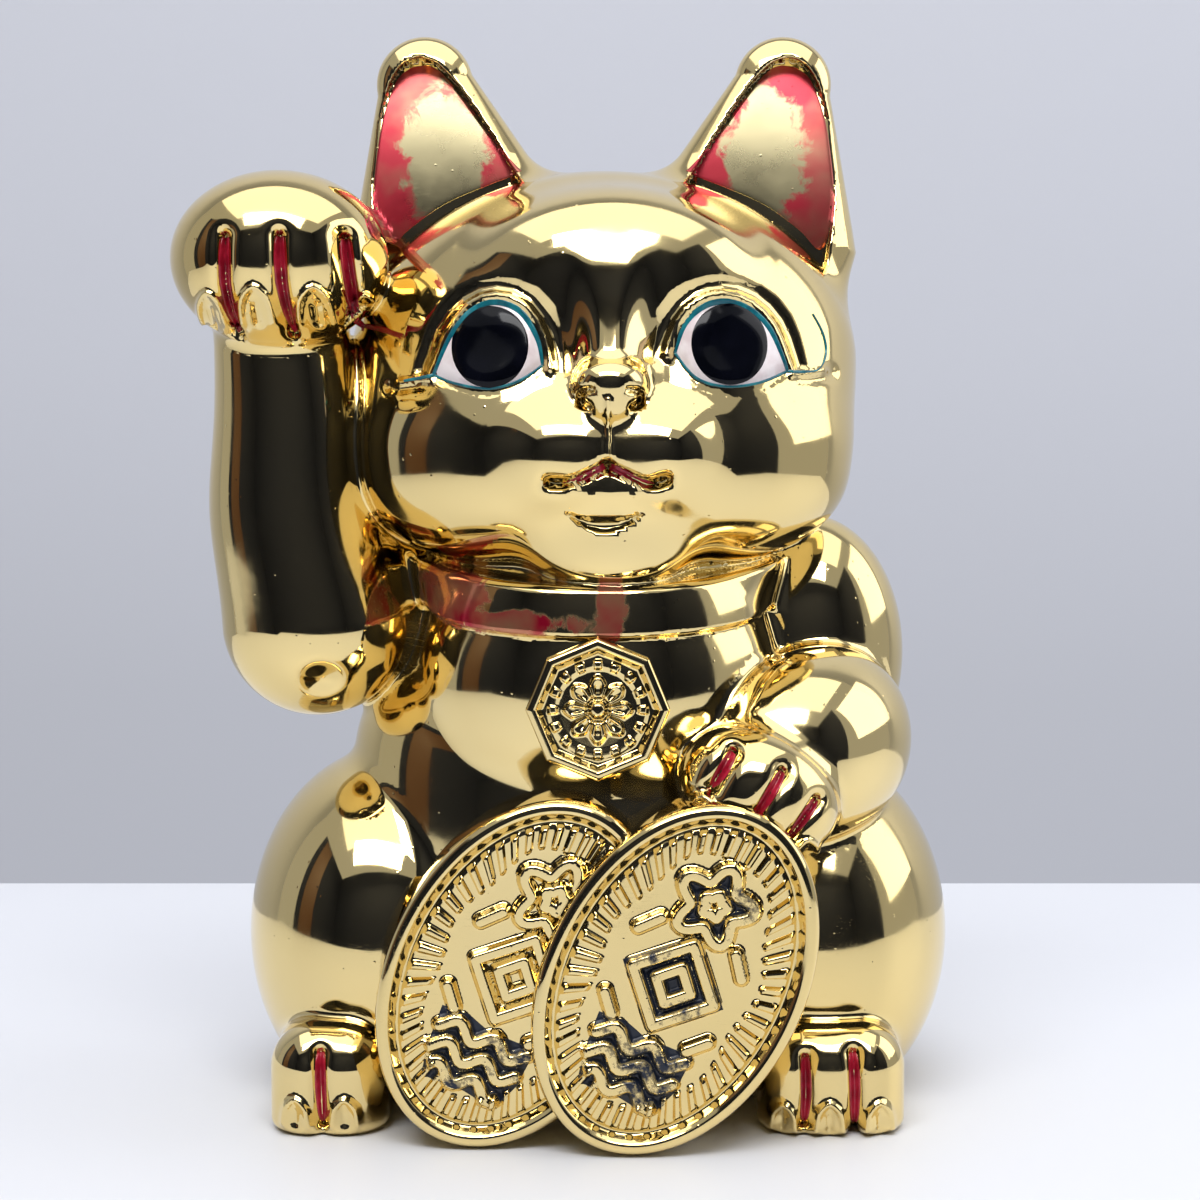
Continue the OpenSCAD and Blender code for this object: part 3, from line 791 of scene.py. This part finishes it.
EAR_MIDDLE = 1.5
EAR_OUTER_EDGE = [(21, 236), (30, 232.5), (41, 227.5), (50, 221), (55.5, 216), (58.6, 224), (58.9, 234), (57, 250),
                  (53.5, 260.5), (49.5, 264)]
EAR_INNER_EDGE = [(21, 236), (26, 241.5), (32.5, 250.5), (39, 259), (43, 263.2), (46, 264.4)]
for side, sign in (("right", -1), ("left", 1)):
    edges = [curve([(EAR_MIDDLE + sign * x, z) for x, z in edge], 6) for edge in (EAR_OUTER_EDGE, EAR_INNER_EDGE)]
    bare_middle = ((EAR_MIDDLE + sign * 40.5) * MM, 0, 241 * MM)
    lacquer = washed_gold("red_lacquer_in_ear_" + side, [(bare_middle, (11.5 * MM, 10, 17.5 * MM))], 0.95, True, 0.22)
    coat("ear_lacquer_" + side + "_coat", [edges], 0.1, lacquer, "ear_enamel_" + side, (80, 40))

# ---- Coins ----
# Two oval coins stand at the lap, pressed in a mould and luted on: a round rim, a band of short bars,
# and raised figures with blue-black ink rubbed between them. The front coin covers part of the other.

COIN_HALF = (30.5, 44.0)
COIN_LEAN = math.radians(27)
COIN_MIDDLE = 41.98
COIN_BACK = -44.0
COINS = {"front": (18.0, -71.0), "rear": (-19.0, -65.0)}


def closed(points):
    return list(points) + [points[0]]


def blossom(radius, swing, steps=60):
    return [((radius + swing * math.cos(5 * t)) * math.sin(t), 20 + (radius + swing * math.cos(5 * t)) * math.cos(t))
            for t in (2 * math.pi * i / steps for i in range(steps))]


COIN_FIGURES = [closed(blossom(7.6, 1.9)), closed(blossom(2.4, 0.5, 20)),
                closed([(0, 9.6), (10.5, -1), (0, -11.6), (-10.5, -1)]),
                closed([(0, 3.6), (4.4, -1), (0, -5.6), (-4.4, -1)])]
COIN_FIGURES += [[(u, v + 1.7 * math.sin(u * 0.66)) for u in np.linspace(-reach, reach, 24)]
                 for v, reach in ((-17.5, 11), (-23.0, 10.5), (-28.5, 8.5))]
COIN_FIGURES += [[(side * 13.5, v), (side * 9.8, v + lift)]
                 for side in (-1, 1) for v, lift in ((7.5, 4.5), (-9.5, -4.0))]


def coin_reach(u, v):
    """How far a point lies from a coin's middle, as a share of the way to its edge."""
    return np.sqrt((u / COIN_HALF[0]) ** 2 + (v / COIN_HALF[1]) ** 2)


def coin_surface(u, v):
    """How far a coin's face lies in front of its rim's top, in millimetres."""
    reach = coin_reach(u, v)
    turn = np.arctan2(v / COIN_HALF[1], u / COIN_HALF[0])
    inset = (1 - reach) * COIN_HALF[0] * COIN_HALF[1] / np.sqrt((COIN_HALF[1] * np.cos(turn)) ** 2
                                                                + (COIN_HALF[0] * np.sin(turn)) ** 2)
    height = -2.4 * (1 - np.sqrt(np.clip(1 - (1 - np.clip(inset / 2.6, 0, 1)) ** 2, 0, 1)))
    height -= 2.0 * ramp(inset, 2.4, 5.0) + 0.6 * np.exp(-((inset - 5.2) / 0.7) ** 2)
    bars = ramp(np.cos(48 * turn + 0.4 * np.sin(3 * turn)), -0.25, 0.75)
    height += 1.35 * bars * ramp(inset, 5.6, 7.0) * (1 - ramp(inset + 0.9 * np.sin(7 * turn), 11.2, 12.8))
    line = np.min([line_distance(u, v, figure) for figure in COIN_FIGURES], axis=0)
    return height + 2.0 * ramp(2.3 - line, 0.0, 1.5)


def on_coin(coin, u, v, w):
    """The place of a point drawn on a coin's face, in millimetres."""
    return np.stack([coin[0] + u * math.cos(COIN_LEAN) + v * math.sin(COIN_LEAN), coin[1] - w,
                     COIN_MIDDLE - u * math.sin(COIN_LEAN) + v * math.cos(COIN_LEAN)], -1)


def pressed_plate(name, spokes, rings, face, back, replaced):
    """A plaque with relief on its face: a grid wound into rings round its middle, with its edge drawn
    straight back and closed."""
    sheet = bmesh.new()
    bmesh.ops.create_grid(sheet, x_segments=spokes, y_segments=rings, size=0.5)
    grid = np.array([vert.co for vert in sheet.verts])
    places = face((grid[:, 0] + 0.5) * 2 * math.pi, grid[:, 1] + 0.5) * MM
    for vert, place in zip(sheet.verts, places):
        vert.co = place
    bmesh.ops.remove_doubles(sheet, verts=list(sheet.verts), dist=1.5e-6)
    rim = [edge for edge in sheet.edges if edge.is_boundary]
    wall = bmesh.ops.extrude_edge_only(sheet, edges=rim)
    for vert in [item for item in wall["geom"] if isinstance(item, bmesh.types.BMVert)]:
        vert.co.y = back * MM
    bmesh.ops.edgeloop_fill(sheet, edges=[edge for edge in sheet.edges if edge.is_boundary])
    bmesh.ops.recalc_face_normals(sheet, faces=list(sheet.faces))
    for part in sheet.faces:
        part.smooth = True
    mesh = mesh_from(name, sheet)
    mesh.set_sharp_from_angle(angle=math.radians(50))
    mesh.materials.append(gold)
    fit_piece(name, mesh, replaced)


def behind_front_coin(x, z):
    """How deep inside the front coin's outline points lie, as a step down from the rear coin's face."""
    dx, dz = x - COINS["front"][0], z - COIN_MIDDLE
    u = dx * math.cos(COIN_LEAN) - dz * math.sin(COIN_LEAN)
    v = dx * math.sin(COIN_LEAN) + dz * math.cos(COIN_LEAN)
    return ramp(1 - coin_reach(u, v), 0.006, 0.03)


def coin_face(side, turn, share):
    u, v = COIN_HALF[0] * share * np.cos(turn), COIN_HALF[1] * share * np.sin(turn)
    places = on_coin(COINS[side], u, v, coin_surface(u, v))
    if side == "rear":
        places[:, 1] += (COIN_BACK - 2 - places[:, 1]) * behind_front_coin(places[:, 0], places[:, 2])
    return places


def worn_ink(name, top, floor):
    """Blue-black ink rubbed into the hollows of the figures and worn off what stands up."""
    material, tree = new_material(name)
    colour, roughness, normal = add_gold(tree)
    place = node(tree, "TexCoord").outputs["Object"]
    depth = node(tree, "SeparateXYZ", Vector=place).outputs["Y"]
    low = node(tree, "MapRange", i0=depth, i1=top * MM, i2=floor * MM, i3=0.0, i4=1.0)
    chips = node(tree, "TexNoise", Vector=place, Scale=420.0, Detail=5.0, Roughness=0.7)
    patches = node(tree, "TexNoise", Vector=place, Scale=90.0, Detail=3.0)
    grain = node(tree, "Math", {"operation": "MULTIPLY_ADD"}, i0=chips.outputs[0], i1=-0.7, i2=low.outputs[0])
    wear = node(tree, "Math", {"operation": "MULTIPLY_ADD"}, i0=patches.outputs[0], i1=-0.9, i2=grain.outputs[0])
    mask = node(tree, "MapRange", i0=wear.outputs[0], i1=-0.78, i2=-0.66, i3=0.0, i4=1.0)
    mixed = node(tree, "Mix", {"data_type": "RGBA"}, i0=mask.outputs[0], i6=colour, i7=linear("#141C2C"))
    body = node(tree, "MapRange", i0=mask.outputs[0], i1=0.0, i2=1.0, i3=1.0, i4=0.0)
    dull = node(tree, "MapRange", i0=mask.outputs[0], i1=0.0, i2=1.0, i3=0.1, i4=0.35)
    finish_surface(tree, Base_Color=mixed.outputs[2], Metallic=body.outputs[0], Roughness=dull.outputs[0],
                   Normal=normal)
    return material


def ink_film(side, areas):
    """The ink as a thin film over the figures, which follows the coin's relief."""
    coin = COINS[side]
    shell = bmesh.new()
    for outline, middle in areas:
        sheet = bmesh.new()
        bmesh.ops.create_grid(sheet, x_segments=120, y_segments=32, size=0.5)
        grid = np.array([vert.co for vert in sheet.verts])
        ring = np.array(closed(outline))
        share = (grid[:, 0] + 0.5) * (len(ring) - 1)
        u = middle[0] + (np.interp(share, range(len(ring)), ring[:, 0]) - middle[0]) * (grid[:, 1] + 0.5)
        v = middle[1] + (np.interp(share, range(len(ring)), ring[:, 1]) - middle[1]) * (grid[:, 1] + 0.5)
        face = coin_surface(u, v)
        for vert, place in zip(sheet.verts, on_coin(coin, u, v, face + 0.05) * MM):
            vert.co = place
        bmesh.ops.remove_doubles(sheet, verts=list(sheet.verts), dist=1.5e-6)
        made = bmesh.ops.extrude_face_region(sheet, geom=list(sheet.faces))
        for vert in [item for item in made["geom"] if isinstance(item, bmesh.types.BMVert)]:
            vert.co.y += 0.25 * MM
        bmesh.ops.recalc_face_normals(sheet, faces=list(sheet.faces))
        add_to(shell, sheet)
    for part in shell.faces:
        part.smooth = True
    mesh = mesh_from("coin_ink_" + side + "_film", shell)
    mesh.materials.append(worn_ink("worn_ink_" + side, coin[1] + 0.9, coin[1] + 1.7))
    fit_piece(mesh.name, mesh, "coin_ink_" + side)


WAVES_OUTLINE = [(-12.5, -14.5), (-6, -13.6), (0, -15.2), (12, -14.2), (12, -24), (9.5, -31.5), (0, -30.6),
                 (-9.5, -31.8), (-11.5, -24)]
LOZENGE_OUTLINE = [(0, 12.2), (13.2, -1), (0, -14.2), (-13.2, -1)]
for side in COINS:
    pressed_plate("coin_" + side + "_clay", 560, 110, lambda turn, share, s=side: coin_face(s, turn, share), COIN_BACK,
                  "coin_" + side)
    areas = [(blossom(9.4, 1.9), (0, 20)), (LOZENGE_OUTLINE, (0, -1)), (WAVES_OUTLINE, (0, -23))]
    ink_film(side, areas if side == "front" else areas[2:])

# ---- Medallion ----
# An eight-sided plaque hangs below the collar, pressed and luted on: a rim, a ring of beads, and a
# rosette of eight petals round a bead.

MEDALLION_MIDDLE = (0.0, 103.5)
MEDALLION_FACE = -54.0
MEDALLION_BACK = -42.0
MEDALLION_RADIUS = 17.3


def medallion_face(turn, share):
    eighth = (turn % (math.pi / 4)) - math.pi / 8
    reach = MEDALLION_RADIUS * math.cos(math.pi / 8) / np.cos(eighth)
    x, z = reach * share * np.sin(turn), reach * share * np.cos(turn)
    inset = (1 - share) * MEDALLION_RADIUS * math.cos(math.pi / 8)
    radius = np.sqrt(x ** 2 + z ** 2)
    height = -1.2 * (1 - np.sqrt(np.clip(1 - (1 - np.clip(inset / 1.4, 0, 1)) ** 2, 0, 1)))
    height -= 2.0 * ramp(inset, 1.8, 3.8)
    beads = 0.35 + 0.65 * ramp(np.cos(16 * turn), -0.2, 0.6)
    height += 0.9 * ramp(12.4 - radius, 0.0, 1.2) * ramp(radius, 9.2, 10.4) * beads
    petals = ramp(8.0 + 0.9 * np.cos(8 * turn) - radius, 0.0, 1.6)
    height += 1.3 * petals - 0.9 * petals * ramp(-np.cos(8 * turn), 0.55, 1.0) * ramp(radius, 2.2, 3.2)
    height -= 0.8 * np.exp(-((radius - 5.0) / 1.3) ** 2) * ramp(np.cos(8 * turn), 0.1, 0.9)
    height -= 0.9 * np.exp(-((radius - 2.5) / 0.6) ** 2)
    height += 0.7 * ramp(2.3 - radius, 0.0, 1.4)
    return np.stack([MEDALLION_MIDDLE[0] + x, MEDALLION_FACE - height, MEDALLION_MIDDLE[1] + z], -1)


pressed_plate("medallion_clay", 320, 70, medallion_face, MEDALLION_BACK, "medallion")

# ---- Base and stopper ----
# The foot is closed by a flat slab of the same clay, bare where it stands on the table. A soft cup
# plugs the hole that the coins are taken out through, and the bar across it is pinched to pull it out.

material, tree = new_material("bare_fired_clay")
place = node(tree, "TexCoord").outputs["Object"]
grain = node(tree, "TexNoise", Vector=place, Scale=700.0, Detail=6.0, Roughness=0.7)
mottle = node(tree, "TexNoise", Vector=place, Scale=60.0, Detail=4.0)
colour = node(tree, "Mix", {"data_type": "RGBA"}, i0=mottle.outputs[0], i6=linear("#E4DCCD"), i7=linear("#CFC3AE"))
pores = node(tree, "Bump", Strength=0.5, Distance=0.0002, Height=grain.outputs[0])
finish_surface(tree, Base_Color=colour.outputs[2], Roughness=0.85, Normal=pores)
for slot in bpy.data.objects["base_slab"].material_slots:
    slot.material = material

material, tree = new_material("moulded_soft_plastic")
place = node(tree, "TexCoord").outputs["Object"]
texture = node(tree, "TexNoise", Vector=place, Scale=900.0, Detail=3.0)
scuffs = node(tree, "TexNoise", Vector=place, Scale=80.0, Detail=5.0)
sheen = node(tree, "MapRange", i0=scuffs.outputs[0], i1=0.35, i2=0.7, i3=0.42, i4=0.62)
eggshell = node(tree, "Bump", Strength=0.3, Distance=0.0001, Height=texture.outputs[0])
tint = node(tree, "Mix", {"data_type": "RGBA"}, i0=scuffs.outputs[0], i6=linear("#DAD5C6"), i7=linear("#C9C2AE"))
finish_surface(tree, Base_Color=tint.outputs[2], Roughness=sheen.outputs[0], IOR=1.5, Normal=eggshell,
               Subsurface_Weight=0.15, Subsurface_Scale=0.002)

STOPPER_PROFILE = [(8.0, 11.0), (8.0, 1.6), (8.5, 1.0), (17.0, 1.0), (17.5, 1.5), (17.5, 2.5), (17.0, 3.0), (14.2, 3.0),
                   (13.95, 3.4), (13.95, 13.4), (13.4, 14.0), (11.6, 14.0), (11.0, 13.6), (11.0, 13.0)]
cup = bmesh.new()
ring = [cup.verts.new((radius * MM, 0, height * MM)) for radius, height in STOPPER_PROFILE]
ring.insert(0, cup.verts.new((0, 0, 11.0 * MM)))
ring.append(cup.verts.new((0, 0, 13.0 * MM)))
lines = [cup.edges.new(pair) for pair in zip(ring[:-1], ring[1:])]
bmesh.ops.spin(cup, geom=ring + lines, cent=(0, 0, 0), axis=(0, 0, 1), angle=2 * math.pi, steps=72, use_merge=True)
bmesh.ops.remove_doubles(cup, verts=list(cup.verts), dist=1e-6)
bar = bmesh.ops.create_cube(cup, size=1.0)["verts"]
bmesh.ops.scale(cup, verts=bar, vec=(16.6 * MM, 3 * MM, 10.2 * MM))
bmesh.ops.translate(cup, verts=bar, vec=(0, 0, 6.3 * MM))
bmesh.ops.bevel(cup, geom=list({edge for vert in bar for edge in vert.link_edges}), offset=0.6 * MM, affect="EDGES",
                segments=3, profile=0.5, material=-1)
bmesh.ops.translate(cup, verts=list(cup.verts), vec=(0, 23 * MM, 0))
bmesh.ops.recalc_face_normals(cup, faces=list(cup.faces))
for part in cup.faces:
    part.smooth = True
mesh = mesh_from("stopper_cup", cup)
mesh.set_sharp_from_angle(angle=math.radians(40))
mesh.materials.append(material)
fit_piece("stopper_cup", mesh, "stopper", body="stopper")
